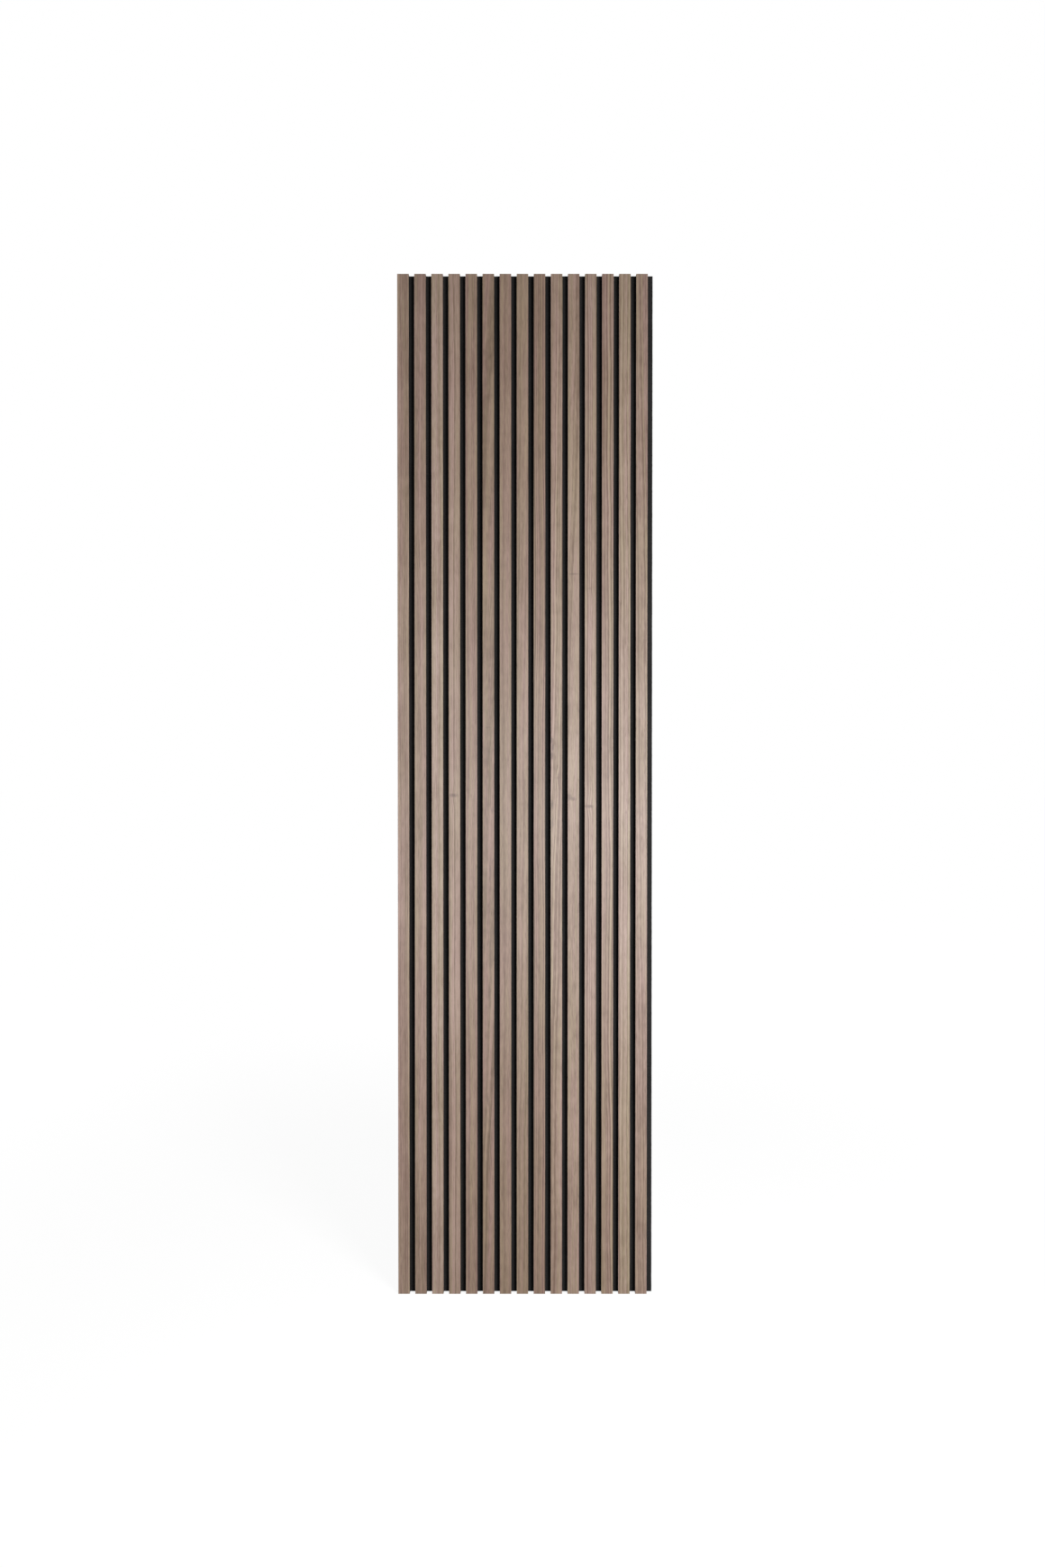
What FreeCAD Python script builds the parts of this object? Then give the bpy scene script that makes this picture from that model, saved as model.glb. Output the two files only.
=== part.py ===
"""Acoustic slat wall panel.

Veneered slats stand side by side on a felt board and are stapled to it from behind.
Millimetres. +Z is up, -Y faces the room and the back of the felt lies on the wall at Y = 0.
The origin is the centre of the back.
"""
import FreeCAD
import Part
import os
import Sketcher

# Driving dimensions: alias, value, what it measures
SIZES = (
    ("panel_length", 2400.0, "Length of the felt board and of every slat"),
    ("slat_count", 15, "Slats side by side"),
    ("slat_pitch", 40.0, "From one slat's left edge to the next one's"),
    ("slat_width", 27.0, "Width of a slat"),
    ("core_depth", 11.4, "Depth of a slat's core, from the felt to the veneer"),
    ("veneer_thickness", 0.6, "Thickness of the veneer on a slat's front"),
    ("veneer_arris", 0.3, "Sanded corner along the veneer's long edges"),
    ("felt_thickness", 9.0, "Thickness of the pressed felt board"),
    ("staple_crown", 10.0, "Staple's outer width across its crown"),
    ("staple_leg", 14.0, "Staple's length from the crown's outer face to the leg tips"),
    ("wire_thickness", 0.6, "Staple wire, measured in the plane of the staple"),
    ("wire_width", 1.2, "Staple wire, measured across the plane of the staple"),
    ("crown_recess", 0.3, "Depth of the crown's outer face below the back of the felt"),
    ("staple_rows", 6, "Staples along each slat"),
    ("staple_end_margin", 75.0, "From a slat's end to its first staple"),
)

# What several pieces share, as expressions on the sheet
FELT_WIDTH = "(round(Sizes.slat_count) * Sizes.slat_pitch)"
FIRST_SLAT_CENTRE = f"(Sizes.slat_width / 2 - {FELT_WIDTH} / 2)"
FIRST_ROW_LEVEL = "(Sizes.staple_end_margin - Sizes.panel_length / 2)"
ROW_SPAN = "(Sizes.panel_length - 2 * Sizes.staple_end_margin)"
COLUMN_SPAN = "((round(Sizes.slat_count) - 1) * Sizes.slat_pitch)"
CORE_FRONT = "(Sizes.felt_thickness + Sizes.core_depth)"

# Sketcher's numbers for the origin, the upright axis and an edge's two ends
ORIGIN = -1
UPRIGHT_AXIS = -2
START, END = range(1, 3)


def make_sheet(doc):
    """The spreadsheet that holds the driving dimensions."""
    sheet = doc.addObject("Spreadsheet::Sheet", "Sizes")
    for row, (alias, value, meaning) in enumerate(SIZES, start=1):
        sheet.set(f"A{row}", meaning)
        sheet.set(f"B{row}", str(value))
        sheet.setAlias(f"B{row}", alias)
    doc.recompute()
    return sheet


def new_body(doc, label):
    """An empty body for one kind of piece."""
    body = doc.addObject("PartDesign::Body", label)
    body.Label = label
    return body


def origin_feature(body, role):
    """One of the body's own origin planes or axes."""
    return next(feature for feature in body.Origin.OriginFeatures if feature.Role == role)


def new_sketch(body, name):
    """A sketch on the body's level plane: it looks along the panel's length."""
    sketch = body.newObject("Sketcher::SketchObject", name)
    sketch.AttachmentSupport = [(origin_feature(body, "XY_Plane"), "")]
    sketch.MapMode = "FlatFace"
    return sketch


def draw_outline(sketch, corners, centred):
    """A closed outline through the corners. Edges drawn level or upright are kept so.

    The level edges listed as centred have their middle on the sketch's upright axis.
    """
    edges = range(len(corners))
    for start, end in zip(corners, corners[1:] + corners[:1]):
        line = Part.LineSegment(FreeCAD.Vector(*start, 0), FreeCAD.Vector(*end, 0))
        sketch.addGeometry(line, False)
    for edge in edges:
        following = (edge + 1) % len(corners)
        sketch.addConstraint(Sketcher.Constraint("Coincident", edge, END, following, START))
        start, end = corners[edge], corners[following]
        if edge in centred:
            middle = Sketcher.Constraint("Symmetric", edge, START, edge, END, UPRIGHT_AXIS)
            sketch.addConstraint(middle)
        elif start[1] == end[1]:
            sketch.addConstraint(Sketcher.Constraint("Horizontal", edge))
        elif start[0] == end[0]:
            sketch.addConstraint(Sketcher.Constraint("Vertical", edge))


def bind_distance(sketch, name, direction, first, second, expression):
    """A named distance between two points, drawn at any size and driven by the sheet."""
    apart = sketch.getPoint(*second) - sketch.getPoint(*first)
    drawn = {"X": apart.x, "Y": apart.y}[direction]
    constraint = Sketcher.Constraint("Distance" + direction, *first, *second, drawn)
    sketch.renameConstraint(sketch.addConstraint(constraint), name)
    sketch.setExpression("Constraints." + name, expression)


def add_extrusion(body, kind, name, sketch, length):
    """A Pad or a Pocket that reaches equally far to both sides of its sketch."""
    feature = body.newObject("PartDesign::" + kind, name)
    feature.Profile = sketch
    feature.SideType = "Symmetric"
    feature.setExpression("Length", length)
    return feature


def repeat_along_slat(body, feature):
    """Repeat a feature at every row of staples."""
    pattern = body.newObject("PartDesign::LinearPattern", feature.Name + "_rows")
    pattern.Originals = [feature]
    pattern.Direction = (origin_feature(body, "Z_Axis"), [""])
    pattern.setExpression("Length", ROW_SPAN)
    pattern.setExpression("Occurrences", "round(Sizes.staple_rows)")
    body.Tip = pattern
    return pattern


def repeat_across_panel(body, pattern):
    """Repeat the rows at every slat too."""
    pattern.Direction2 = (origin_feature(body, "X_Axis"), [""])
    pattern.setExpression("Length2", COLUMN_SPAN)
    pattern.setExpression("Occurrences2", "round(Sizes.slat_count)")


def draw_rectangle(body, name, width, depth, back):
    """A rectangle centred on the upright axis, its back edge the given distance from the wall."""
    sketch = new_sketch(body, name)
    draw_outline(sketch, [(-10, -2), (10, -2), (10, -1), (-10, -1)], centred=(0,))
    bind_distance(sketch, "width", "X", (0, START), (0, END), width)
    bind_distance(sketch, "depth", "Y", (0, END), (1, END), depth)
    if back is None:
        sketch.addConstraint(Sketcher.Constraint("PointOnObject", 2, START, ORIGIN))
    else:
        bind_distance(sketch, "back", "Y", (2, START), (ORIGIN, START), back)
    return sketch


def draw_staple(body, name, crown_face):
    """A staple seen from its end of the panel: the crown at the wall side and two legs.

    crown_face is the crown's distance from the wall, or None for a cut that is open there.
    """
    sketch = new_sketch(body, name)
    sketch.setExpression(".AttachmentOffset.Base.z", FIRST_ROW_LEVEL)
    draw_outline(
        sketch,
        [(-5, -1), (-5, -9), (-4, -9), (-4, -2), (4, -2), (4, -9), (5, -9), (5, -1)],
        centred=(3, 7),
    )
    bind_distance(sketch, "crown", "X", (7, END), (7, START), "Sizes.staple_crown")
    bind_distance(sketch, "left_leg", "X", (1, START), (1, END), "Sizes.wire_thickness")
    crown_floor = "Sizes.crown_recess + Sizes.wire_thickness"
    leg_tip = "Sizes.crown_recess + Sizes.staple_leg"
    bind_distance(sketch, "crown_floor", "Y", (3, START), (ORIGIN, START), crown_floor)
    bind_distance(sketch, "left_tip", "Y", (1, START), (ORIGIN, START), leg_tip)
    bind_distance(sketch, "right_tip", "Y", (5, START), (ORIGIN, START), leg_tip)
    if crown_face is None:
        sketch.addConstraint(Sketcher.Constraint("PointOnObject", 7, START, ORIGIN))
    else:
        bind_distance(sketch, "crown_face", "Y", (7, START), (ORIGIN, START), crown_face)
    return sketch


def make_felt(doc):
    """The felt board, one gap wider than the slats, with the cuts that the staples leave."""
    body = new_body(doc, "felt_backing")
    section = draw_rectangle(body, "felt_section", FELT_WIDTH, "Sizes.felt_thickness", None)
    add_extrusion(body, "Pad", "felt_board", section, "Sizes.panel_length")
    staple = draw_staple(body, "felt_staple_outline", None)
    staple.setExpression(".AttachmentOffset.Base.x", FIRST_SLAT_CENTRE)
    cut = add_extrusion(body, "Pocket", "felt_staple_cut", staple, "Sizes.wire_width")
    repeat_across_panel(body, repeat_along_slat(body, cut))
    return body


def place_at_slat(body, index):
    """Move a slat's piece from the middle of the panel to its own place across the felt."""
    body.setExpression(".Placement.Base.x", f"{FIRST_SLAT_CENTRE} + {index} * Sizes.slat_pitch")


def make_core(doc, index):
    """One slat's black core, flush with the felt at both ends, with its staple holes."""
    body = new_body(doc, f"slat_core_{index + 1:02d}")
    section = draw_rectangle(
        body, "core_section", "Sizes.slat_width", "Sizes.core_depth", "Sizes.felt_thickness"
    )
    add_extrusion(body, "Pad", "core_bar", section, "Sizes.panel_length")
    staple = draw_staple(body, "core_staple_outline", None)
    cut = add_extrusion(body, "Pocket", "core_staple_cut", staple, "Sizes.wire_width")
    repeat_along_slat(body, cut)
    place_at_slat(body, index)
    return body


def make_veneer(doc, index):
    """One slat's veneer, as wide as its core, with both long front corners sanded off."""
    body = new_body(doc, f"slat_veneer_{index + 1:02d}")
    sketch = new_sketch(body, "veneer_section")
    draw_outline(
        sketch, [(-10, -1), (-10, -2), (-9, -3), (9, -3), (10, -2), (10, -1)], centred=(2, 5)
    )
    bind_distance(sketch, "width", "X", (5, END), (5, START), "Sizes.slat_width")
    bind_distance(sketch, "back", "Y", (5, START), (ORIGIN, START), CORE_FRONT)
    bind_distance(sketch, "thickness", "Y", (2, START), (0, START), "Sizes.veneer_thickness")
    bind_distance(sketch, "arris_across", "X", (1, START), (1, END), "Sizes.veneer_arris")
    bind_distance(sketch, "arris_deep", "Y", (1, END), (1, START), "Sizes.veneer_arris")
    bind_distance(sketch, "right_arris", "Y", (3, START), (3, END), "Sizes.veneer_arris")
    add_extrusion(body, "Pad", "veneer_strip", sketch, "Sizes.panel_length")
    place_at_slat(body, index)
    return body


def make_staples(doc):
    """All the staples: each crown sinks into the felt and its legs end in a slat's core."""
    body = new_body(doc, "staples")
    body.AllowCompound = True
    staple = draw_staple(body, "staple_outline", "Sizes.crown_recess")
    staple.setExpression(".AttachmentOffset.Base.x", FIRST_SLAT_CENTRE)
    wire = add_extrusion(body, "Pad", "staple_wire", staple, "Sizes.wire_width")
    repeat_across_panel(body, repeat_along_slat(body, wire))
    return body


def check_pieces(doc, pieces):
    """Stop if any feature failed or any piece has no sound shape."""
    for item in doc.Objects:
        if "Invalid" in item.State or "Error" in item.State:
            raise RuntimeError(f"{item.Label} did not compute: {item.State}")
    for piece in pieces:
        if piece.Shape.isNull() or not piece.Shape.isValid():
            raise RuntimeError(f"{piece.Label} has no valid shape")


def main():
    doc = FreeCAD.newDocument("slat_panel")
    sheet = make_sheet(doc)
    slats = range(round(sheet.slat_count))
    pieces = [make_felt(doc)]
    pieces += [make_core(doc, index) for index in slats]
    pieces += [make_veneer(doc, index) for index in slats]
    pieces.append(make_staples(doc))
    doc.recompute()
    check_pieces(doc, pieces)
    os.makedirs("parts", exist_ok=True)
    for piece in pieces:
        piece.Shape.exportStep(f"parts/{piece.Label}.step")
        box = piece.Shape.BoundBox
        print(
            f"{piece.Label}: {len(piece.Shape.Solids)} solid(s), {piece.Shape.Volume:.0f} mm3,"
            f" X {box.XMin:.2f} to {box.XMax:.2f}, Y {box.YMin:.2f} to {box.YMax:.2f},"
            f" Z {box.ZMin:.2f} to {box.ZMax:.2f}"
        )


main()
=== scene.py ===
"""Dress the acoustic slat wall panel: walnut leaves, black board, pressed felt and staples."""

import math
from collections import namedtuple

import bpy
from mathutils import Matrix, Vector, noise


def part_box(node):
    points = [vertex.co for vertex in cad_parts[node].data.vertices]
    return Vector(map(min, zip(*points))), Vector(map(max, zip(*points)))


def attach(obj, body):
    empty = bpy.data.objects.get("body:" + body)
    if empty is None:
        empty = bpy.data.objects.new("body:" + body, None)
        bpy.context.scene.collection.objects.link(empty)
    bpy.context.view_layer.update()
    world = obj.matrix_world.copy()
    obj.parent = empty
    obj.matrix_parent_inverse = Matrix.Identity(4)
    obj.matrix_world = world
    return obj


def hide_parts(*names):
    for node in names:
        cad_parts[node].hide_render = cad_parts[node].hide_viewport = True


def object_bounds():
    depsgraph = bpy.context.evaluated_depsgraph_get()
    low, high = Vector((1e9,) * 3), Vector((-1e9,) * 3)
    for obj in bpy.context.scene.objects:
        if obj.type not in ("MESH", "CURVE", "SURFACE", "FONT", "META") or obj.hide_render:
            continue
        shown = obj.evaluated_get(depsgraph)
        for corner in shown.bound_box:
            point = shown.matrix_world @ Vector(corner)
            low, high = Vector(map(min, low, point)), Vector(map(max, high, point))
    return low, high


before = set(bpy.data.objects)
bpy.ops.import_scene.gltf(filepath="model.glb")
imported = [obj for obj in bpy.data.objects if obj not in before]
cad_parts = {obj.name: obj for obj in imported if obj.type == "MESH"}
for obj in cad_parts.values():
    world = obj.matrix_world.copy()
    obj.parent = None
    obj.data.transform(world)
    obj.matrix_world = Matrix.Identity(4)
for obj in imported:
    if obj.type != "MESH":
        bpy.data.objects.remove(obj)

bl_info = {
    "name": "Acoustic Slat Panel",
    "version": (1, 0, 0),
    "blender": (4, 5, 0),
    "location": "3D View > Sidebar > Slat Panel",
    "description": "Finishes the slats, the felt and the staples of an acoustic wall panel",
    "category": "Object",
}

MM = 0.001
QUARTER_TURN = math.radians(90.0)

# The photograph's height and the rise of its lens, in pixels
PHOTO_HEIGHT = 1740
LENS_RISE = -21.4

# Places nearer than this are the same
CLOSE = 0.1 * MM

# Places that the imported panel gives
CAD_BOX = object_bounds()
VENEERS = sorted(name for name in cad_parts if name.startswith("slat_veneer"))
CORES = sorted(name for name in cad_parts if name.startswith("slat_core"))
FELT = "felt_backing"
STAPLES = "staples"
FELT_LOW, FELT_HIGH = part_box(FELT)
STAPLE_LOW, STAPLE_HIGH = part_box(STAPLES)
FIRST_LOW, FIRST_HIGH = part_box(VENEERS[0])
SLAT_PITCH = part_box(VENEERS[1])[0].x - FIRST_LOW.x
PANEL_LENGTH = FELT_HIGH.z - FELT_LOW.z

# The collection that the sheen light falls on
LEAVES_ALONE = "walnut_leaves_alone"

# How far apart the leaves lie in the noise, and the dull reflection of board and felt
SEED_STEP = 7.31
MATT = 0.1

# One leaf of veneer. Lightness and redness are relative to the mean leaf, streaks is how strong
# its rings are, and curl is how far they ripple and how strongly their painted sheen shows.
# The leaf was cut at pith_across beside the heart of the log and pith_depth in front of it at
# mid height, and the heart leans towards the leaf by lean for each metre. All lengths are in
# millimetres.
Leaf = namedtuple("Leaf", "lightness redness streaks curl pith_across pith_depth lean")

LEAVES = (
    Leaf(-0.01, 0.06, 0.75, 0.5, 160, 20, 4),
    Leaf(0.00, 0.08, 0.45, 0.5, -120, 15, -3),
    Leaf(0.32, 0.08, 0.55, 0.4, 190, 10, 5),
    Leaf(0.07, 0.02, 1.6, 0.3, -150, 25, 4),
    Leaf(-0.10, 0.08, 0.6, 0.3, 140, 30, -5),
    Leaf(-0.19, -0.04, 0.8, 1.0, 30, 60, 22),
    Leaf(-0.12, 0.02, 0.5, 0.2, -170, 15, 3),
    Leaf(-0.11, -0.12, 0.6, 0.4, 60, 50, 12),
    Leaf(-0.26, -0.04, 1.6, 0.5, -200, 20, 4),
    Leaf(0.07, 0.04, 1.05, 0.8, -40, 45, -14),
    Leaf(0.07, -0.06, 0.5, 0.5, 45, 60, 16),
    Leaf(0.11, 0.08, 1.35, 0.3, 180, 25, -4),
    Leaf(-0.01, 0.04, 1.6, 0.7, -70, 35, 9),
    Leaf(0.18, -0.06, 1.8, 0.3, 210, 20, 3),
    Leaf(0.01, 0.10, 0.85, 0.9, -55, 55, 12),
)

# A knot, tick or stain in a leaf: the slat's number, its height above mid height, its distance
# right of the slat's middle, half its width, half its height, how dark it is and how far the
# grain bends round it
Mark = namedtuple("Mark", "slat height side half_width half_height depth bend")

MARKS = (
    Mark(1, 740, -12, 3.0, 26, 0.30, 0),
    Mark(1, -257, -12.5, 2.5, 22, 0.30, 0),
    Mark(2, 155, -1, 0.5, 1.0, 0.05, 3.0),
    Mark(3, -4, -1, 12.0, 2.6, 0.08, 2.0),
    Mark(4, -21, -2.5, 10.5, 4.8, 0.66, 3.0),
    Mark(6, 139, 0, 7.0, 2.4, 0.22, 2.0),
    Mark(6, 73, 3, 9.0, 14.0, 0.14, 3.5),
    Mark(6, -57, 9, 2.6, 9, 0.35, 1.5),
    Mark(6, -199, 4, 2.6, 26, 0.40, 1.0),
    Mark(6, -398, 4, 2.6, 58, 0.34, 1.0),
    Mark(6, -488, 2, 3.0, 26, 0.32, 1.5),
    Mark(6, -738, -2, 3.2, 16, 0.45, 2.0),
    Mark(10, 109, -11, 3.2, 10, 0.75, 1.0),
    Mark(10, 92, -9.5, 3.0, 10, 0.72, 1.5),
    Mark(10, 73, -11, 3.2, 12, 0.75, 1.5),
    Mark(10, 20, 1, 9.0, 3.0, 0.16, 3.5),
    Mark(10, -43, -10, 3.2, 12, 0.75, 2.0),
    Mark(10, -84, -9, 2.6, 15, 0.50, 0.5),
    Mark(11, 499, 0, 13.0, 2.6, 0.35, 1.0),
    Mark(11, -10, -7, 3.2, 7.0, 0.20, 2.0),
    Mark(11, -24, -10, 6.5, 9.0, 0.64, 4.0),
    Mark(11, -29, -1, 8.0, 4.2, 0.50, 2.0),
    Mark(12, -47, -4, 11.0, 4.2, 0.50, 3.0),
    Mark(12, -46, 0, 4.0, 2.6, 0.30, 1.0),
    Mark(12, 465, -2, 5.0, 2.8, 0.25, 1.0),
    Mark(13, 208, 8.5, 2.4, 44, 0.40, 0),
    Mark(13, 96, 4, 2.6, 30, 0.45, 0.5),
    Mark(13, 35, 2.5, 2.6, 24, 0.40, 0.5),
    Mark(13, -240, -1, 2.6, 46, 0.26, 1.0),
    Mark(14, -61, 4, 2.6, 3.0, 0.25, 0.5),
    Mark(15, -65, -1, 2.6, 6.0, 0.30, 2.0),
    Mark(15, 65, 2, 0.5, 1.0, 0.05, 3.5),
)


# Shader maths


class Number:
    """A number that changes over a surface. Python's operators on it add Math nodes."""

    def __init__(self, finish, socket):
        self.finish = finish
        self.socket = socket

    def calculate(self, operation, *values):
        return self.finish.maths(operation, self, *values)

    def __add__(self, other):
        return self.calculate("ADD", other)

    __radd__ = __add__

    def __sub__(self, other):
        return self.calculate("SUBTRACT", other)

    def __rsub__(self, other):
        return self.finish.maths("SUBTRACT", other, self)

    def __mul__(self, other):
        return self.calculate("MULTIPLY", other)

    __rmul__ = __mul__

    def __truediv__(self, other):
        return self.calculate("DIVIDE", other)

    def __rtruediv__(self, other):
        return self.finish.maths("DIVIDE", other, self)

    def root(self):
        return self.calculate("SQRT")

    def at_least(self, other):
        return self.calculate("MAXIMUM", other)

    def rise(self, start, end):
        """From 0 at start to 1 at end, level outside them and smooth between."""
        settings = {"interpolation_type": "SMOOTHSTEP"}
        inputs = {"Value": self, "From Min": start, "From Max": end}
        node = self.finish.add("ShaderNodeMapRange", settings, inputs)
        return Number(self.finish, node.outputs["Result"])


class Finish:
    """The nodes of one material, or of the world."""

    def __init__(self, owner):
        owner.use_nodes = True
        self.owner = owner
        self.tree = owner.node_tree
        self.tree.nodes.clear()

    def add(self, kind, settings=None, inputs=None):
        """A node with its settings made first, then the values or links of its sockets."""
        node = self.tree.nodes.new(kind)
        for name, value in (settings or {}).items():
            setattr(node, name, value)
        for name, value in (inputs or {}).items():
            if isinstance(value, Number):
                self.tree.links.new(value.socket, node.inputs[name])
            elif isinstance(value, bpy.types.NodeSocket):
                self.tree.links.new(value, node.inputs[name])
            else:
                node.inputs[name].default_value = value
        return node

    def maths(self, operation, *values):
        node = self.add("ShaderNodeMath", {"operation": operation}, dict(enumerate(values)))
        return Number(self, node.outputs["Value"])

    def place(self):
        """The three object coordinates of a point on the piece."""
        coordinates = self.add("ShaderNodeTexCoord")
        parts = self.add("ShaderNodeSeparateXYZ", None, {"Vector": coordinates.outputs["Object"]})
        return [Number(self, parts.outputs[axis]) for axis in "XYZ"]

    def vector(self, x, y, z):
        return self.add("ShaderNodeCombineXYZ", None, {"X": x, "Y": y, "Z": z}).outputs["Vector"]

    def scaled(self, place, bumps):
        """A place as a vector, with each coordinate times its number of bumps."""
        return self.vector(*(coordinate * count for coordinate, count in zip(place, bumps)))

    def noise(self, place, bumps, detail=2.0, roughness=0.5):
        """Smooth noise about zero, with so many bumps for each metre along the three axes."""
        inputs = {
            "Vector": self.scaled(place, bumps),
            "Scale": 1.0,
            "Detail": detail,
            "Roughness": roughness,
        }
        node = self.add("ShaderNodeTexNoise", {"noise_dimensions": "3D"}, inputs)
        return Number(self, node.outputs["Fac"]) - 0.5

    def grain(self, across, up, bumps, seed, detail=2.0, roughness=0.5):
        """Noise about zero on a flat leaf, with so many bumps for each metre across and up it."""
        return self.noise((across, seed, up), (bumps[0], 1, bumps[1]), detail, roughness)

    def line_noise(self, along, bumps, seed, detail=1.0):
        """Smooth noise about zero along one number, with so many bumps for each metre."""
        inputs = {"W": along * bumps + seed, "Scale": 1.0, "Detail": detail}
        node = self.add("ShaderNodeTexNoise", {"noise_dimensions": "1D"}, inputs)
        return Number(self, node.outputs["Fac"]) - 0.5

    def mix(self, factor, first, second):
        """From the first colour to the second as factor goes from 0 to 1.

        The Mix node keeps its two colours in sockets 6 and 7, and their mix in output 2.
        """
        node = self.add("ShaderNodeMix", {"data_type": "RGBA"}, {0: factor, 6: first, 7: second})
        return node.outputs[2]

    def blend(self, factor, first, second):
        """A mix of two colours that are written as numbers."""
        return self.mix(factor.rise(0.0, 1.0), opaque(first), opaque(second))

    def times(self, first, second):
        """One colour times another."""
        inputs = {0: first, 1: second}
        node = self.add("ShaderNodeVectorMath", {"operation": "MULTIPLY"}, inputs)
        return node.outputs["Vector"]

    def shade(self, colour, factor):
        """The colour times a number."""
        return self.times(colour, self.vector(factor, factor, factor))

    def bump(self, height, distance, strength):
        """A normal that follows a height, in units of distance."""
        inputs = {"Height": height, "Distance": distance, "Strength": strength}
        return self.add("ShaderNodeBump", None, inputs).outputs["Normal"]

    def white_to_the_eye(self):
        """1 for what is seen straight, in a mirror or through glass, and 0 for what lights."""
        rays = self.add("ShaderNodeLightPath")
        kinds = ("Is Camera Ray", "Is Glossy Ray", "Is Transmission Ray")
        straight, mirrored, through = [Number(self, rays.outputs[kind]) for kind in kinds]
        return straight.at_least(mirrored).at_least(through)

    def end(self, shader, kind="ShaderNodeOutputMaterial"):
        """The end of the tree, and the material or world that it makes."""
        self.add(kind, None, {"Surface": shader})
        return self.owner

    def surface(self, inputs):
        """A tree that ends in the principled shader."""
        return self.end(self.add("ShaderNodeBsdfPrincipled", None, inputs).outputs["BSDF"])


def new_finish(name):
    """The empty tree of a new material."""
    return Finish(bpy.data.materials.new(name))


def opaque(colour):
    """A colour with its alpha."""
    return (*colour, 1.0)


# Finishes


def ring_distance(finish, leaf, marks, across, flow, z, seed):
    """How far a point lies from the heart of the log, on rings that bend round the marks."""
    bend_beside = 9 * MM
    bend_above = 34 * MM
    ripple = (1.4 + 4.0 * leaf.curl) * MM
    side = flow + finish.grain(across, z, (45, 7), seed) * ripple - leaf.pith_across * MM
    for mark in marks:
        if mark.bend:
            beside = (across - mark.side * MM) / bend_beside
            above = (z - mark.height * MM) / bend_above
            near = 1.0 - (beside * beside + above * above).root().rise(0.0, 1.0)
            side = side + near * (mark.bend * MM)
    front = z * (leaf.lean * MM) + leaf.pith_depth * MM
    return (side * side + front * front).root()


def stained(finish, settings, colour, mark, across, z, seed):
    """The wood's colour with one mark in it, ragged at its rim and darkest at its heart."""
    heart, rim = 0.25, 1.45
    ragged = finish.grain(across, z, (520, 150), seed + mark.height, 3.0, 0.6) * 1.5
    beside = (across - mark.side * MM) / (mark.half_width * MM)
    above = (z - mark.height * MM) / (mark.half_height * MM)
    distance = (beside * beside + above * above).root() + ragged
    stain = (1.0 - distance.rise(heart, rim)) * mark.depth
    return finish.mix(stain, colour, finish.times(colour, settings.mark_tint))


def walnut(settings, number, middle):
    """The walnut leaf of one slat, whose middle is at that X."""
    leaf = LEAVES[number - 1]
    marks = [mark for mark in MARKS if mark.slat == number]
    finish = new_finish(f"walnut_leaf_{number:02d}")
    x, y, z = finish.place()
    across = x - middle
    seed = SEED_STEP * number
    wander = 16 * MM
    mean_darkness = 0.46
    mean_hue = 0.5

    # The heart of the log wanders a little, and the grain flows with it
    flow = across + finish.line_noise(z, 1.1, seed, 2.0) * wander
    ring = ring_distance(finish, leaf, marks, across, flow, z, seed)

    # Growth rings of uneven width, in three sizes
    broad = finish.line_noise(ring, 110, seed)
    middling = finish.line_noise(ring, 290, seed + 40)
    fine = finish.line_noise(ring, 900, seed + 80)
    bands = broad * 0.72 + middling * 0.9 + fine * 0.4

    # Fibres and pores lie along the slat, and flecks and clouds of stain are longer than wide
    fibre = finish.grain(flow, z, (2300, 22), seed, 2.0, 0.6)
    pore = finish.grain(flow, z, (1500, 55), seed + 9, 1.0).rise(0.13, 0.24)
    fleck = finish.grain(across, z, (330, 38), seed + 7, 2.0, 0.6)
    cloud = finish.grain(across, z, (24, 5), seed + 3, 3.0, 0.6)
    # Painted sheen: the shimmer of the curly figure, which moves with the light on real wood, is
    # painted here as lighter and darker patches in the colour
    painted_shimmer = finish.grain(across, z, (55, 40), seed + 5, 1.0) * leaf.curl

    dark = bands * leaf.streaks + fibre * 0.5 + fleck * 0.55 + cloud * 0.6 + painted_shimmer * 0.35
    dark = dark * settings.figure + mean_darkness
    colour = finish.blend(dark, settings.pale_wood, settings.dark_wood)

    # Redness changes from ring to ring and from place to place
    hue = finish.line_noise(ring, 170, seed + 120) * 1.5
    hue = hue + finish.grain(across, z, (60, 4), seed + 11, 1.0) * 1.3 + mean_hue + leaf.redness
    colour = finish.times(colour, finish.blend(hue, settings.straw_tint, settings.rose_tint))

    # A darker leaf is also browner, so that red falls less than green, and blue more
    lighter = 1.0 + leaf.lightness
    colour = finish.times(colour, (lighter**0.75, lighter, lighter**1.15))
    colour = finish.shade(colour, 1.0 - pore * settings.pore_depth)
    for mark in marks:
        colour = stained(finish, settings, colour, mark, across, z, seed)

    height = fibre * 0.35 - pore
    return finish.surface(
        {
            "Base Color": colour,
            "Roughness": settings.roughness + cloud * 0.10 + pore * 0.12,
            "Specular IOR Level": settings.varnish,
            "Anisotropic": settings.across_grain,
            "Normal": finish.bump(height, settings.pore_relief * MM, 0.6),
        }
    )


def black_board(settings):
    """Black-dyed fibreboard: fine pale and dark fibres, darker than the felt."""
    relief = 0.15 * MM
    finish = new_finish("black_fibreboard")
    place = finish.place()
    fleck = finish.noise(place, (1400, 1400, 900), 2.0, 0.7)
    saw = finish.noise(place, (90, 90, 700), 1.0)
    fibre = finish.noise(place, (700, 2600, 500), 1.0)
    height = fleck * 0.6 + saw * 0.5 + fibre * 0.4
    return finish.surface(
        {
            "Base Color": finish.blend(fleck * 1.4 + 0.35, settings.board_dark, settings.board_pale),
            "Roughness": 0.75 + fleck * 0.2,
            "Specular IOR Level": MATT,
            "Normal": finish.bump(height, relief, 0.6),
        }
    )


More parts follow.
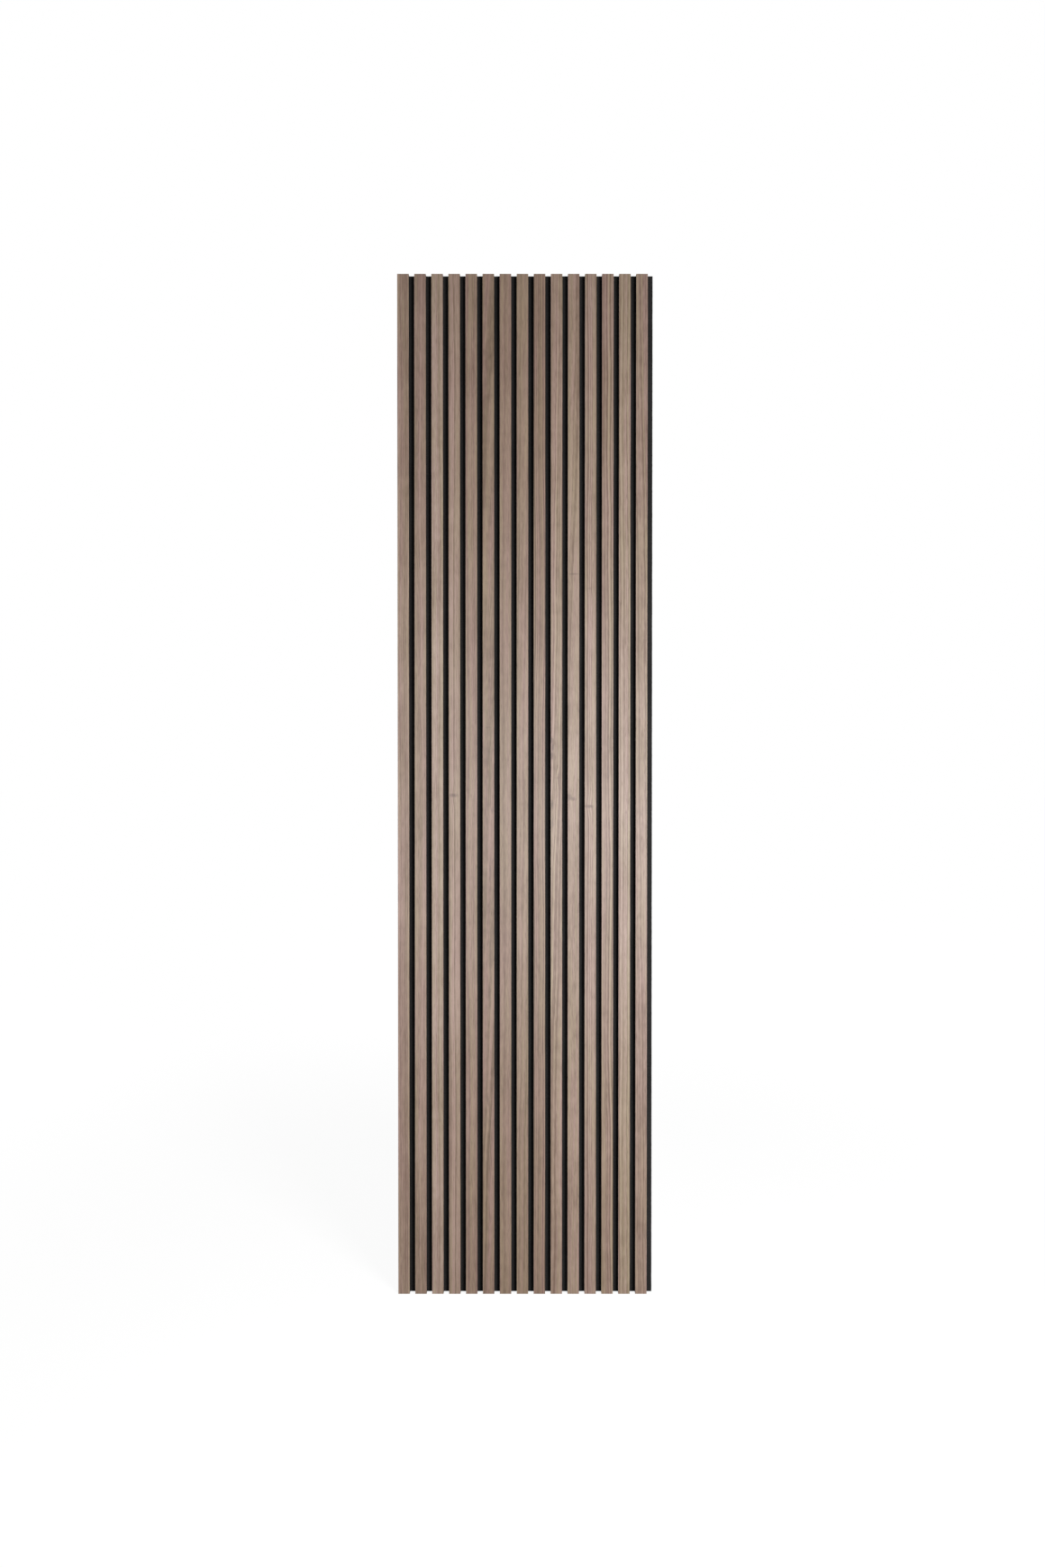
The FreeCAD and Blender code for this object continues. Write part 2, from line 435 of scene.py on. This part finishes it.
def pressed_felt(settings):
    """Needled felt: a mat of dark fibres with a few pale ones, painted shade between the fibres, and
    the needles' fine dimples.
    """
    relief = 0.5 * MM
    stray = 20 * MM
    finish = new_finish("pressed_felt")
    x, y, z = finish.place()
    bend = finish.noise((x, y, z), (60, 60, 60), 1.0) * stray
    mat = finish.noise((x + bend, y, z), (700, 700, 420), 3.0, 0.7)
    cloud = finish.noise((x, y, z), (22, 22, 9))

    # The pale fibres cross one another at a slant
    slant = finish.noise((x + z, y, x - z), (1500, 900, 190), 1.0)
    other = finish.noise((x - z, y, x + z), (1500, 900, 190), 1.0)
    pale = slant.at_least(other).rise(0.17, 0.27)
    # Painted shade: the mat's colour follows the same noise as its bump, so lower fibres are darker
    # and upper ones paler, over the felt's own mottle
    base = finish.blend(mat * 1.3 + cloud * 0.7 + 0.5, settings.felt_dark, settings.felt_pale)
    colour = finish.mix(pale * 0.55, base, opaque(settings.felt_fibre))

    needles = finish.add(
        "ShaderNodeTexVoronoi",
        {"feature": "F1"},
        {"Vector": finish.scaled((x, y, z), (420, 420, 420)), "Scale": 1.0},
    )
    pit = 1.0 - Number(finish, needles.outputs["Distance"]).rise(0.05, 0.32)
    height = mat + pale * 0.35 - pit * 0.45
    return finish.surface(
        {
            "Base Color": colour,
            "Roughness": 0.94 + mat * 0.1,
            "Specular IOR Level": MATT,
            "Normal": finish.bump(height, relief, 0.8),
        }
    )


def galvanised_wire(settings):
    """Zinc-coated staple wire with drawn lines and dull patches."""
    relief = 0.03 * MM
    finish = new_finish("galvanised_wire")
    place = finish.place()
    drawn = finish.noise(place, (300, 300, 5200))
    patch = finish.noise(place, (380, 380, 380))
    return finish.surface(
        {
            "Base Color": finish.blend(patch * 1.6 + 0.5, settings.zinc_dull, settings.zinc_bright),
            "Metallic": 1.0,
            "Roughness": 0.42 + patch * 0.3,
            "Normal": finish.bump(drawn, relief, 0.5),
        }
    )


def studio_floor(settings):
    """A pale floor that the camera sees white, with the panel's own soft shadow on it.

    Away from the panel its glow makes up what the lights no longer give.
    """
    finish = new_finish("studio_floor")
    x, y, z = finish.place()
    away = (x * x + y * y).root().rise(settings.glow_near, settings.glow_far)
    missing = 1.0 - settings.floor_glow - settings.floor_albedo * settings.fill
    glow = away * missing + settings.floor_glow
    albedo = settings.floor_albedo + finish.noise((x, y, z), (8, 8, 1)) * 0.02
    colour = finish.vector(albedo, albedo, albedo)
    matt = finish.add("ShaderNodeBsdfDiffuse", None, {"Color": colour})
    light = finish.add("ShaderNodeEmission", None, {"Strength": finish.white_to_the_eye() * glow})
    shaders = {0: matt.outputs["BSDF"], 1: light.outputs["Emission"]}
    return finish.end(finish.add("ShaderNodeAddShader", None, shaders).outputs["Shader"])


# Modelling


def active_mesh(name):
    """The primitive that was just added, named with its mesh."""
    piece = bpy.context.active_object
    piece.name = name
    piece.data.name = name
    return piece


def let_go():
    """Nothing is selected, so that an operator acts on the new piece alone."""
    bpy.ops.object.select_all(action="DESELECT")


def take(piece):
    """One piece alone is selected and active."""
    let_go()
    piece.select_set(True)
    bpy.context.view_layer.objects.active = piece


def settle(piece):
    """Put the piece's place, turn and scale into its mesh."""
    take(piece)
    bpy.ops.object.transform_apply(location=True, rotation=True, scale=True)


def add_block(name, low, high):
    """A block between two corners."""
    let_go()
    bpy.ops.mesh.primitive_cube_add(size=1.0, location=(low + high) / 2)
    piece = active_mesh(name)
    piece.scale = high - low
    settle(piece)
    return piece


def edit(piece, mode):
    """Edit one piece, with the given kind of element to pick and none picked yet."""
    take(piece)
    bpy.ops.object.mode_set(mode="EDIT")
    bpy.ops.mesh.select_mode(type=mode)
    bpy.ops.mesh.select_all(action="DESELECT")


def pick(piece, kind, wanted):
    """Select the elements of the edited piece that the test wants."""
    bpy.ops.object.mode_set(mode="OBJECT")
    for element in getattr(piece.data, kind):
        element.select = wanted(element)
    bpy.ops.object.mode_set(mode="EDIT")


def leave_edit():
    """Turn every face outwards and go back to the finished piece."""
    bpy.ops.mesh.select_all(action="SELECT")
    bpy.ops.mesh.normals_make_consistent(inside=False)
    bpy.ops.object.mode_set(mode="OBJECT")


def extrude(x, y, z):
    """Draw the picked faces out by that much."""
    bpy.ops.mesh.extrude_region_move(TRANSFORM_OT_translate={"value": (x, y, z)})


def apply_modifier(piece, kind, **settings):
    """Add a modifier and apply it at once."""
    modifier = piece.modifiers.new(kind.lower(), kind)
    for name, value in settings.items():
        setattr(modifier, name, value)
    take(piece)
    bpy.ops.object.modifier_apply(modifier=modifier.name)


def repeat(piece, count, step):
    """Repeat a piece, each copy one step on from the last."""
    apply_modifier(
        piece,
        "ARRAY",
        count=count,
        use_relative_offset=False,
        use_constant_offset=True,
        constant_offset_displace=step,
    )


def smooth_by_angle(piece, degrees):
    take(piece)
    bpy.ops.object.shade_smooth_by_angle(angle=math.radians(degrees))


def dress(piece, material, node):
    """Give a new piece its material, its place on the panel and the node it stands for."""
    piece.data.materials.clear()
    piece.data.materials.append(material)
    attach(piece, "root")
    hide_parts(node)


def fold_strip_map(piece, folds):
    """Lay a long strip's surface in side-by-side columns, so that a square picture can hold it.

    The front and its two long edges fill the columns. The hidden back has a narrow one of its
    own, and the two ends share a row at the top.
    """
    back_share = 0.03
    end_share = 0.01
    end_width = 0.45
    spacing = 0.002
    steep = 0.9
    places = [vertex.co.copy() for vertex in piece.data.vertices]
    left, near, low = (min(place[axis] for place in places) for axis in range(3))
    right, far, high = (max(place[axis] for place in places) for axis in range(3))
    segment = (high - low) / folds
    column = (1.0 - back_share) / folds
    thick = far - near
    layer = piece.data.uv_layers.new(name="OFBake")
    for face in piece.data.polygons:
        index = min(folds - 1, int((face.center.z - low) / segment))
        for loop in face.loop_indices:
            place = places[piece.data.loops[loop].vertex_index]
            depth = place.y - near
            unrolled = place.x
            if face.center.x < left + thick:
                unrolled -= depth
            elif face.center.x > right - thick:
                unrolled += depth
            across = (unrolled - left + thick) / (right - left + 2 * thick)
            if abs(face.normal.z) > steep:
                start = 0.5 if place.z > 0 else 0.0
                u = start + end_width * (place.x - left) / (right - left) + spacing
                v = 1.0 - end_share + spacing + (end_share - 2 * spacing) * depth / thick
            elif face.normal.y > steep:
                u = 1.0 - back_share + spacing + (back_share - 2 * spacing) * across
                v = (1.0 - end_share - spacing) * (place.z - low) / (high - low)
            else:
                u = column * index + spacing + (column - 2 * spacing) * across
                v = (1.0 - end_share - spacing) * ((place.z - low) / segment - index)
            layer.data[loop].uv = (u, v)


def staple_rows():
    """The heights of the staples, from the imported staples' own corners."""
    apart = 10 * MM
    heights = sorted(vertex.co.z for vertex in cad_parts[STAPLES].data.vertices)
    rows = []
    for height in heights:
        if not rows or height - rows[-1][-1] > apart:
            rows.append([])
        rows[-1].append(height)
    return [(row[0] + row[-1]) / 2 for row in rows]


# Settings


class VeneerSettings(bpy.types.PropertyGroup):
    """The walnut leaves on the slats' fronts."""

    pale_wood: bpy.props.FloatVectorProperty(
        name="Pale wood",
        description="Colour of the palest rings",
        subtype="COLOR",
        size=3,
        default=(0.341, 0.239, 0.178),
    )
    dark_wood: bpy.props.FloatVectorProperty(
        name="Dark wood",
        description="Colour of the darkest rings",
        subtype="COLOR",
        size=3,
        default=(0.118, 0.064, 0.036),
    )
    straw_tint: bpy.props.FloatVectorProperty(
        name="Straw tint",
        description="What the wood's colour is multiplied by where it is yellowest",
        subtype="COLOR",
        size=3,
        default=(0.955, 1.012, 0.87),
    )
    rose_tint: bpy.props.FloatVectorProperty(
        name="Rose tint",
        description="What the wood's colour is multiplied by where it is reddest",
        subtype="COLOR",
        size=3,
        default=(1.05, 0.982, 1.09),
    )
    mark_tint: bpy.props.FloatVectorProperty(
        name="Mark tint",
        description="What the wood's colour is multiplied by in the heart of a knot",
        subtype="COLOR",
        size=3,
        default=(0.20, 0.11, 0.09),
    )
    figure: bpy.props.FloatProperty(
        name="Figure",
        description="Contrast of the wood's rings, flecks and clouds",
        default=1.1,
        min=0.0,
        max=2.0,
    )
    pore_depth: bpy.props.FloatProperty(
        name="Pore darkness",
        description="How much darker the pores are",
        subtype="FACTOR",
        default=0.30,
        min=0.0,
        max=1.0,
    )
    pore_relief: bpy.props.FloatProperty(
        name="Pore relief",
        description="Depth of the pores in millimetres",
        default=0.12,
        min=0.0,
        max=1.0,
    )
    roughness: bpy.props.FloatProperty(
        name="Roughness",
        description="Roughness of the satin varnish",
        subtype="FACTOR",
        default=0.54,
        min=0.0,
        max=1.0,
    )
    varnish: bpy.props.FloatProperty(
        name="Varnish gloss",
        description="Strength of the varnish's reflection",
        subtype="FACTOR",
        default=0.85,
        min=0.0,
        max=1.0,
    )
    across_grain: bpy.props.FloatProperty(
        name="Spread across the grain",
        description="How much wider reflections are across the grain than along it",
        subtype="FACTOR",
        default=0.1,
        min=0.0,
        max=1.0,
    )
    arris: bpy.props.FloatProperty(
        name="Arris",
        description="Radius of the sanded long edges",
        subtype="DISTANCE",
        unit="LENGTH",
        default=0.3 * MM,
    )
    folds: bpy.props.IntProperty(
        name="Map columns",
        description="Columns that each strip's surface map is folded into",
        default=9,
        min=1,
        max=16,
    )


class BoardSettings(bpy.types.PropertyGroup):
    """The black board inside the slats."""

    board_dark: bpy.props.FloatVectorProperty(
        name="Board, dark",
        description="Colour of the board's dark fibres",
        subtype="COLOR",
        size=3,
        default=(0.005, 0.005, 0.005),
    )
    board_pale: bpy.props.FloatVectorProperty(
        name="Board, pale",
        description="Colour of the board's pale fibres",
        subtype="COLOR",
        size=3,
        default=(0.015, 0.014, 0.0135),
    )


class FeltSettings(bpy.types.PropertyGroup):
    """The pressed felt behind the slats."""

    # Painted shade: felt_dark is the colour of the lower, shaded fibres and felt_pale that of the
    # upper fibres
    felt_dark: bpy.props.FloatVectorProperty(
        name="Felt, dark",
        description="Colour of the felt's shaded fibres",
        subtype="COLOR",
        size=3,
        default=(0.024, 0.023, 0.023),
    )
    felt_pale: bpy.props.FloatVectorProperty(
        name="Felt, pale",
        description="Colour of the felt's upper fibres",
        subtype="COLOR",
        size=3,
        default=(0.055, 0.053, 0.053),
    )
    felt_fibre: bpy.props.FloatVectorProperty(
        name="Stray fibre",
        description="Colour of the few pale fibres",
        subtype="COLOR",
        size=3,
        default=(0.123, 0.121, 0.120),
    )
    cell: bpy.props.FloatProperty(
        name="Mesh cell",
        description="Size of one square of the felt's mesh",
        subtype="DISTANCE",
        unit="LENGTH",
        default=6.0 * MM,
    )
    swell: bpy.props.FloatProperty(
        name="Swell",
        description="How far the felt's surface wanders in depth",
        subtype="DISTANCE",
        unit="LENGTH",
        default=0.25 * MM,
    )
    ragged: bpy.props.FloatProperty(
        name="Ragged edge",
        description="How far the cut edges wander",
        subtype="DISTANCE",
        unit="LENGTH",
        default=0.5 * MM,
    )
    dimple: bpy.props.FloatProperty(
        name="Staple dimple",
        description="How deep each staple pulls the felt in",
        subtype="DISTANCE",
        unit="LENGTH",
        default=0.8 * MM,
    )
    dimple_reach: bpy.props.FloatProperty(
        name="Dimple reach",
        description="How far from a staple its dimple ends",
        subtype="DISTANCE",
        unit="LENGTH",
        default=16.0 * MM,
    )


class StapleSettings(bpy.types.PropertyGroup):
    """The staples' wire."""

    zinc_dull: bpy.props.FloatVectorProperty(
        name="Zinc, dull",
        description="Colour of the wire's dull patches",
        subtype="COLOR",
        size=3,
        default=(0.26, 0.26, 0.27),
    )
    zinc_bright: bpy.props.FloatVectorProperty(
        name="Zinc, bright",
        description="Colour of the wire's bright patches",
        subtype="COLOR",
        size=3,
        default=(0.46, 0.46, 0.47),
    )
    wire_thickness: bpy.props.FloatProperty(
        name="Wire thickness",
        description="Thickness of the wire in the plane of the staple",
        subtype="DISTANCE",
        unit="LENGTH",
        default=0.6 * MM,
    )
    bend: bpy.props.FloatProperty(
        name="Bend",
        description="Inner radius of the staple's two corners",
        subtype="DISTANCE",
        unit="LENGTH",
        default=0.35 * MM,
    )


class StudioSettings(bpy.types.PropertyGroup):
    """Camera, lights and floor."""

    camera_place: bpy.props.FloatVectorProperty(
        name="Camera",
        description="Where the camera stands",
        subtype="TRANSLATION",
        unit="LENGTH",
        size=3,
        default=(-0.0064, -2.491, 0.077),
    )
    camera_dip: bpy.props.FloatProperty(
        name="Dip",
        description="How far the camera looks down",
        subtype="ANGLE",
        default=math.radians(0.6),
    )
    lens: bpy.props.FloatProperty(
        name="Lens",
        description="Focal length in millimetres on a 36 mm long side",
        default=24.115,
    )
    shift: bpy.props.FloatProperty(
        name="Shift",
        description="Rise of the lens, in heights of the picture",
        default=LENS_RISE / PHOTO_HEIGHT,
    )
    key_place: bpy.props.FloatVectorProperty(
        name="Key light",
        description="Where the main light stands",
        subtype="TRANSLATION",
        unit="LENGTH",
        size=3,
        default=(1.38, -2.38, -0.24),
    )
    key_size: bpy.props.FloatVectorProperty(
        name="Key size",
        description="Width and height of the main light",
        subtype="XYZ_LENGTH",
        size=2,
        default=(0.9, 0.6),
    )
    key_power: bpy.props.FloatProperty(
        name="Key power",
        description="Power of the main light",
        unit="POWER",
        default=47.0,
    )
    sheen_place: bpy.props.FloatVectorProperty(
        name="Sheen light",
        description="Where the light that shows the leaves' sheen stands",
        subtype="TRANSLATION",
        unit="LENGTH",
        size=3,
        default=(0.25, -2.72, -0.20),
    )
    sheen_size: bpy.props.FloatVectorProperty(
        name="Sheen light size",
        description="Width and height of the light on the leaves",
        subtype="XYZ_LENGTH",
        size=2,
        default=(0.6, 0.6),
    )
    sheen_power: bpy.props.FloatProperty(
        name="Sheen light power",
        description="Power of the light on the leaves",
        unit="POWER",
        default=37.0,
    )
    back_place: bpy.props.FloatVectorProperty(
        name="Back light",
        description="Where the light on the wall side stands",
        subtype="TRANSLATION",
        unit="LENGTH",
        size=3,
        default=(-2.4, 3.0, 0.8),
    )
    back_size: bpy.props.FloatVectorProperty(
        name="Back light size",
        description="Width and height of the light on the wall side",
        subtype="XYZ_LENGTH",
        size=2,
        default=(1.6, 2.4),
    )
    back_power: bpy.props.FloatProperty(
        name="Back light power",
        description="Power of the light on the wall side",
        unit="POWER",
        default=110.0,
    )
    fill: bpy.props.FloatProperty(
        name="Fill",
        description="Light from all round, where 1 is white",
        default=0.11,
    )
    floor_albedo: bpy.props.FloatProperty(
        name="Floor",
        description="How much of its light the floor gives back",
        default=0.30,
    )
    floor_glow: bpy.props.FloatProperty(
        name="Floor white",
        description="White that the eye alone sees on the floor by the panel",
        default=0.93,
    )
    glow_near: bpy.props.FloatProperty(
        name="Glow rises from",
        description="Distance from the panel at which the floor's own white begins to rise",
        subtype="DISTANCE",
        unit="LENGTH",
        default=0.9,
    )
    glow_far: bpy.props.FloatProperty(
        name="Glow is full at",
        description="Distance from the panel at which the floor is as white as the background",
        subtype="DISTANCE",
        unit="LENGTH",
        default=2.7,
    )
    floor_width: bpy.props.FloatProperty(
        name="Floor width",
        description="Side of the square floor",
        subtype="DISTANCE",
        unit="LENGTH",
        default=60.0,
    )


class PanelSettings(bpy.types.PropertyGroup):
    """All the settings of the slat panel."""

    veneer: bpy.props.PointerProperty(type=VeneerSettings)
    board: bpy.props.PointerProperty(type=BoardSettings)
    felt: bpy.props.PointerProperty(type=FeltSettings)
    staple: bpy.props.PointerProperty(type=StapleSettings)
    studio: bpy.props.PointerProperty(type=StudioSettings)


# Operators


class SLATPANEL_OT_stage(bpy.types.Operator):
    """Set up the camera, the lights, the white surroundings and the floor"""

    bl_idname = "slatpanel.stage"
    bl_label = "Stage"

    def execute(self, context):
        studio = context.scene.slatpanel.studio
        self.add_camera(context, studio)
        self.add_world(context, studio)
        self.add_lamps(studio, self.add_floor(studio))
        return {"FINISHED"}

    def add_camera(self, context, studio):
        tilt = (QUARTER_TURN - studio.camera_dip, 0.0, 0.0)
        bpy.ops.object.camera_add(location=studio.camera_place, rotation=tilt)
        camera = context.active_object
        camera.name = "photo_camera"
        camera.data.sensor_width = 36.0
        camera.data.lens = studio.lens
        camera.data.shift_y = studio.shift
        context.scene.camera = camera

    def add_lamp(self, name, place, size, power):
        """A rectangular lamp at a place, turned towards the panel's middle."""
        bpy.ops.object.light_add(type="AREA", location=place)
        lamp = bpy.context.active_object
        lamp.name = name
        lamp.rotation_euler = Vector(place).to_track_quat("Z", "Y").to_euler()
        lamp.data.shape = "RECTANGLE"
        lamp.data.size, lamp.data.size_y = size
        lamp.data.energy = power
        return lamp

    def add_lamps(self, studio, floor):
        """The main light, one for the leaves alone, and a soft one on the wall side."""
        self.add_lamp("key_light", studio.key_place, studio.key_size, studio.key_power)
        sheen = self.add_lamp(
            "sheen_light", studio.sheen_place, studio.sheen_size, studio.sheen_power
        )
        sheen.light_linking.receiver_collection = bpy.data.collections.new(LEAVES_ALONE)
        back = self.add_lamp("back_light", studio.back_place, studio.back_size, studio.back_power)
        spared = bpy.data.collections.new("not_lit_from_behind")
        spared.objects.link(floor)
        spared.collection_objects[0].light_linking.link_state = "EXCLUDE"
        back.light_linking.receiver_collection = spared

    def add_world(self, context, studio):
        """White to the eye, and the fill to all else."""
        finish = Finish(bpy.data.worlds.new("white_surroundings"))
        strength = finish.white_to_the_eye() * (1.0 - studio.fill) + studio.fill
        inputs = {"Color": opaque((1.0, 1.0, 1.0)), "Strength": strength}
        background = finish.add("ShaderNodeBackground", None, inputs).outputs["Background"]
        context.scene.world = finish.end(background, "ShaderNodeOutputWorld")
        context.scene.view_settings.view_transform = "Standard"

    def add_floor(self, studio):
        let_go()
        place = (0.0, 0.0, CAD_BOX[0].z)
        bpy.ops.mesh.primitive_plane_add(size=studio.floor_width, location=place)
        floor = active_mesh("studio_floor")
        settle(floor)
        floor.data.materials.append(studio_floor(studio))
        return floor


class SLATPANEL_OT_veneers(bpy.types.Operator):
    """Lay a walnut leaf with sanded long edges on each slat"""

    bl_idname = "slatpanel.veneers"
    bl_label = "Veneers"

    def execute(self, context):
        settings = context.scene.slatpanel.veneer
        leaves = [self.model_strip(settings)]
        for node in VENEERS[1:]:
            leaves.append(self.copy_strip(leaves[0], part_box(node)[0].x - FIRST_LOW.x))
        for number, (leaf, node) in enumerate(zip(leaves, VENEERS), start=1):
            low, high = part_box(node)
            leaf.name = f"walnut_leaf_{number:02d}"
            leaf.data.name = leaf.name
            bpy.data.collections[LEAVES_ALONE].objects.link(leaf)
            dress(leaf, walnut(settings, number, (low.x + high.x) / 2), node)
        return {"FINISHED"}

    def model_strip(self, settings):
        """One strip, cut across where its map folds, with both long front edges rounded."""
        strip = add_block("walnut_leaf_01", FIRST_LOW, FIRST_HIGH)
        edit(strip, "EDGE")
        for cut in range(1, settings.folds):
            bpy.ops.mesh.select_all(action="SELECT")
            height = FIRST_LOW.z + cut * PANEL_LENGTH / settings.folds
            bpy.ops.mesh.bisect(plane_co=(0.0, 0.0, height), plane_no=(0.0, 0.0, 1.0))

        def upright_in_front(edge):
            ends = [strip.data.vertices[index].co for index in edge.vertices]
            in_front = all(end.y < FIRST_LOW.y + CLOSE for end in ends)
            return in_front and abs(ends[0].x - ends[1].x) < CLOSE

        pick(strip, "edges", upright_in_front)
        bpy.ops.mesh.bevel(offset=settings.arris, segments=3, profile=0.5)
        leave_edit()
        fold_strip_map(strip, settings.folds)
        smooth_by_angle(strip, 40)
        apply_modifier(strip, "WEIGHTED_NORMAL", keep_sharp=True)
        return strip

    def copy_strip(self, strip, step):
        """A copy of the strip with a mesh of its own, that far to the right."""
        leaf = strip.copy()
        leaf.data = strip.data.copy()
        bpy.context.collection.objects.link(leaf)
        for vertex in leaf.data.vertices:
            vertex.co.x += step
        return leaf


class SLATPANEL_OT_cores(bpy.types.Operator):
    """Give the slats' cores their black fibreboard"""

    bl_idname = "slatpanel.cores"
    bl_label = "Cores"

    def execute(self, context):
        material = black_board(context.scene.slatpanel.board)
        for name in CORES:
            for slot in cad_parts[name].material_slots:
                slot.material = material
        return {"FINISHED"}


class SLATPANEL_OT_felt(bpy.types.Operator):
    """Model the felt board: uneven surface, ragged cut edges and a dimple at each staple"""

    bl_idname = "slatpanel.felt"
    bl_label = "Felt"

    def execute(self, context):
        settings = context.scene.slatpanel.felt
        felt = self.model_board(settings)
        self.pull_in_staples(felt, settings)
        self.roughen(felt, settings)
        smooth_by_angle(felt, 60)
        dress(felt, pressed_felt(settings), FELT)
        return {"FINISHED"}

    def model_board(self, settings):
        """A fine grid on the wall side, drawn out to the slats in three steps."""
        steps = 3
        size = FELT_HIGH - FELT_LOW
        centre = (FELT_LOW + FELT_HIGH) / 2
        let_go()
        bpy.ops.mesh.primitive_grid_add(
            x_subdivisions=round(size.x / settings.cell),
            y_subdivisions=round(size.z / settings.cell),
            size=1.0,
            location=(centre.x, FELT_HIGH.y, centre.z),
            rotation=(-QUARTER_TURN, 0.0, 0.0),
        )
        felt = active_mesh("felt_board")
        felt.scale = (size.x - settings.ragged, size.z - settings.ragged, 1.0)
        settle(felt)
        edit(felt, "FACE")
        bpy.ops.mesh.select_all(action="SELECT")
        for step in range(steps):
            extrude(0.0, -size.y / steps, 0.0)
        leave_edit()
        return felt

    def pull_in_staples(self, felt, settings):
        """Dent the wall side at each staple, deepest along most of its crown."""
        deepest = 4.0 * MM
        group = felt.vertex_groups.new(name="staples")
        columns = [(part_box(name)[0].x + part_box(name)[1].x) / 2 for name in CORES]
        rows = staple_rows()
        for vertex in felt.data.vertices:
            if vertex.co.y < FELT_HIGH.y - CLOSE:
                continue
            column = min(columns, key=lambda x: abs(x - vertex.co.x))
            row = min(rows, key=lambda z: abs(z - vertex.co.z))
            beside = max(0.0, abs(vertex.co.x - column) - deepest)
            reach = math.hypot(beside, vertex.co.z - row) / settings.dimple_reach
            if reach < 1.0:
                group.add([vertex.index], (1.0 - reach) ** 2, "REPLACE")
        apply_modifier(
            felt,
            "DISPLACE",
            vertex_group="staples",
            direction="Y",
            mid_level=0.0,
            strength=-settings.dimple,
        )

    def roughen(self, felt, settings):
        """Let the faces swell and the cut edges wander, always inside the board's true box."""
        centre = (FELT_LOW + FELT_HIGH) / 2
        half = (FELT_HIGH - FELT_LOW) / 2
        half_x = half.x - settings.ragged / 2
        half_z = half.z - settings.ragged / 2
        swells, frays = 30.0, 260.0
        for vertex in felt.data.vertices:
            place = vertex.co - centre
            swell = 0.5 + 0.5 * noise.noise(vertex.co * swells)
            fray = noise.noise(vertex.co * frays) * settings.ragged / 2
            vertex.co.y -= swell * settings.swell * place.y / half.y
            if abs(abs(place.x) - half_x) < CLOSE:
                vertex.co.x += fray
            if abs(abs(place.z) - half_z) < CLOSE:
                vertex.co.z += fray


class SLATPANEL_OT_staples(bpy.types.Operator):
    """Bend one staple from flat wire and repeat it at every slat and row"""

    bl_idname = "slatpanel.staples"
    bl_label = "Staples"

    def execute(self, context):
        settings = context.scene.slatpanel.staple
        rows = staple_rows()
        staple = self.bend_wire(settings, rows[0])
        repeat(staple, len(CORES), (SLAT_PITCH, 0.0, 0.0))
        repeat(staple, len(rows), (0.0, 0.0, rows[1] - rows[0]))
        smooth_by_angle(staple, 35)
        dress(staple, galvanised_wire(settings), STAPLES)
        return {"FINISHED"}

    def bend_wire(self, settings, row):
        """Draw the wire up one leg, round the first corner, along the crown and down again."""
        thick = settings.wire_thickness
        wide = 2 * (row - STAPLE_LOW.z)
        middle = (FIRST_LOW.x + FIRST_HIGH.x) / 2
        half_crown = middle - STAPLE_LOW.x
        turn = settings.bend + thick / 2
        leg = STAPLE_HIGH.y - thick / 2 - turn - STAPLE_LOW.y
        crown = 2 * half_crown - thick - 2 * turn
        left = middle - half_crown + thick / 2
        let_go()
        bpy.ops.mesh.primitive_plane_add(
            size=1.0,
            location=(left, STAPLE_LOW.y, row),
            rotation=(QUARTER_TURN, 0.0, 0.0),
        )
        staple = active_mesh("staple_wire")
        staple.scale = (thick, wide, 1.0)
        settle(staple)
        edit(staple, "FACE")
        bpy.ops.mesh.select_all(action="SELECT")
        extrude(0.0, leg, 0.0)
        self.turn_corner(left + turn, STAPLE_LOW.y + leg, row)
        extrude(crown, 0.0, 0.0)
        self.turn_corner(left + turn + crown, STAPLE_LOW.y + leg, row)
        extrude(0.0, -leg, 0.0)
        bpy.ops.mesh.select_all(action="SELECT")
        bpy.ops.mesh.remove_doubles(threshold=0.001 * MM)
        leave_edit()
        return staple

    def turn_corner(self, x, y, z):
        """Bend the end of the wire by a quarter turn about an upright line through that place."""
        bpy.ops.mesh.spin(steps=3, angle=QUARTER_TURN, center=(x, y, z), axis=(0.0, 0.0, 1.0))


class SLATPANEL_PT_sidebar(bpy.types.Panel):
    """The slat panel's steps, in the order in which they are run"""

    bl_label = "Slat Panel"
    bl_idname = "SLATPANEL_PT_sidebar"
    bl_space_type = "VIEW_3D"
    bl_region_type = "UI"
    bl_category = "Slat Panel"

    def draw(self, context):
        settings = context.scene.slatpanel
        groups = {
            SLATPANEL_OT_stage: settings.studio,
            SLATPANEL_OT_veneers: settings.veneer,
            SLATPANEL_OT_cores: settings.board,
            SLATPANEL_OT_felt: settings.felt,
            SLATPANEL_OT_staples: settings.staple,
        }
        for operator, group in groups.items():
            box = self.layout.box()
            box.operator(operator.bl_idname)
            for name in group.__annotations__:
                box.prop(group, name)


CLASSES = (
    VeneerSettings,
    BoardSettings,
    FeltSettings,
    StapleSettings,
    StudioSettings,
    PanelSettings,
    SLATPANEL_OT_stage,
    SLATPANEL_OT_veneers,
    SLATPANEL_OT_cores,
    SLATPANEL_OT_felt,
    SLATPANEL_OT_staples,
    SLATPANEL_PT_sidebar,
)


def register():
    for item in CLASSES:
        bpy.utils.register_class(item)
    bpy.types.Scene.slatpanel = bpy.props.PointerProperty(type=PanelSettings)


def unregister():
    del bpy.types.Scene.slatpanel
    for item in reversed(CLASSES):
        bpy.utils.unregister_class(item)


def main():
    register()
    bpy.ops.slatpanel.stage()
    bpy.ops.slatpanel.veneers()
    bpy.ops.slatpanel.cores()
    bpy.ops.slatpanel.felt()
    bpy.ops.slatpanel.staples()


if __name__ == "__main__":
    main()
